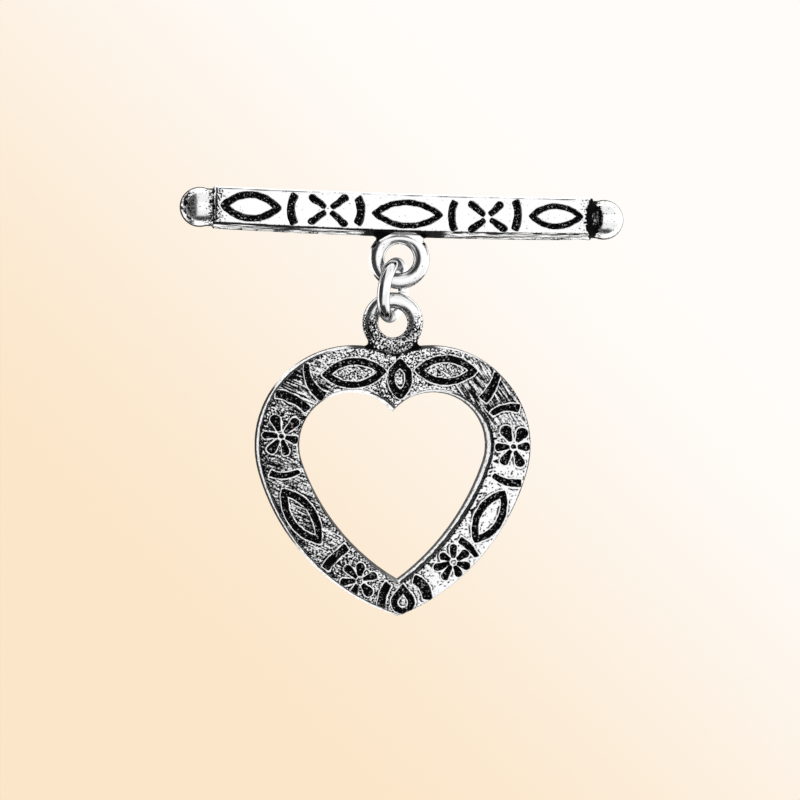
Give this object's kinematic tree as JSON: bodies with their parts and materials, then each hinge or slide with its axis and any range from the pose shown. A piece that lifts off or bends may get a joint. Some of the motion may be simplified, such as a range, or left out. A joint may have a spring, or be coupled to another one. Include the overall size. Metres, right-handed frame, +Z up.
{
  "type": "toggle clasp",
  "caption": "Cast silver-coloured toggle clasp: ornamented bar with ball ends, joined by a jump ring to a flat open heart.",
  "frame": {"origin": "on the surface that the clasp lies on, under the middle of the whole clasp", "axes": "+X along the bar, +Y from the heart's point towards the bar, +Z up out of the ornamented faces"},
  "size_m": [0.0278, 0.0268, 0.0038],
  "materials": {
    "bar_silver": "polished cast pewter with a silver finish, cut ornament blackened",
    "ring_silver": "polished silver-plated wire",
    "heart_silver": "antiqued cast pewter with a silver finish, hatched between blackened ornament"
  },
  "bodies": {
    "root": {"toggle_bar": "bar_silver", "jump_ring": "ring_silver", "heart_ring": "heart_silver"}
  },
  "joints": []
}
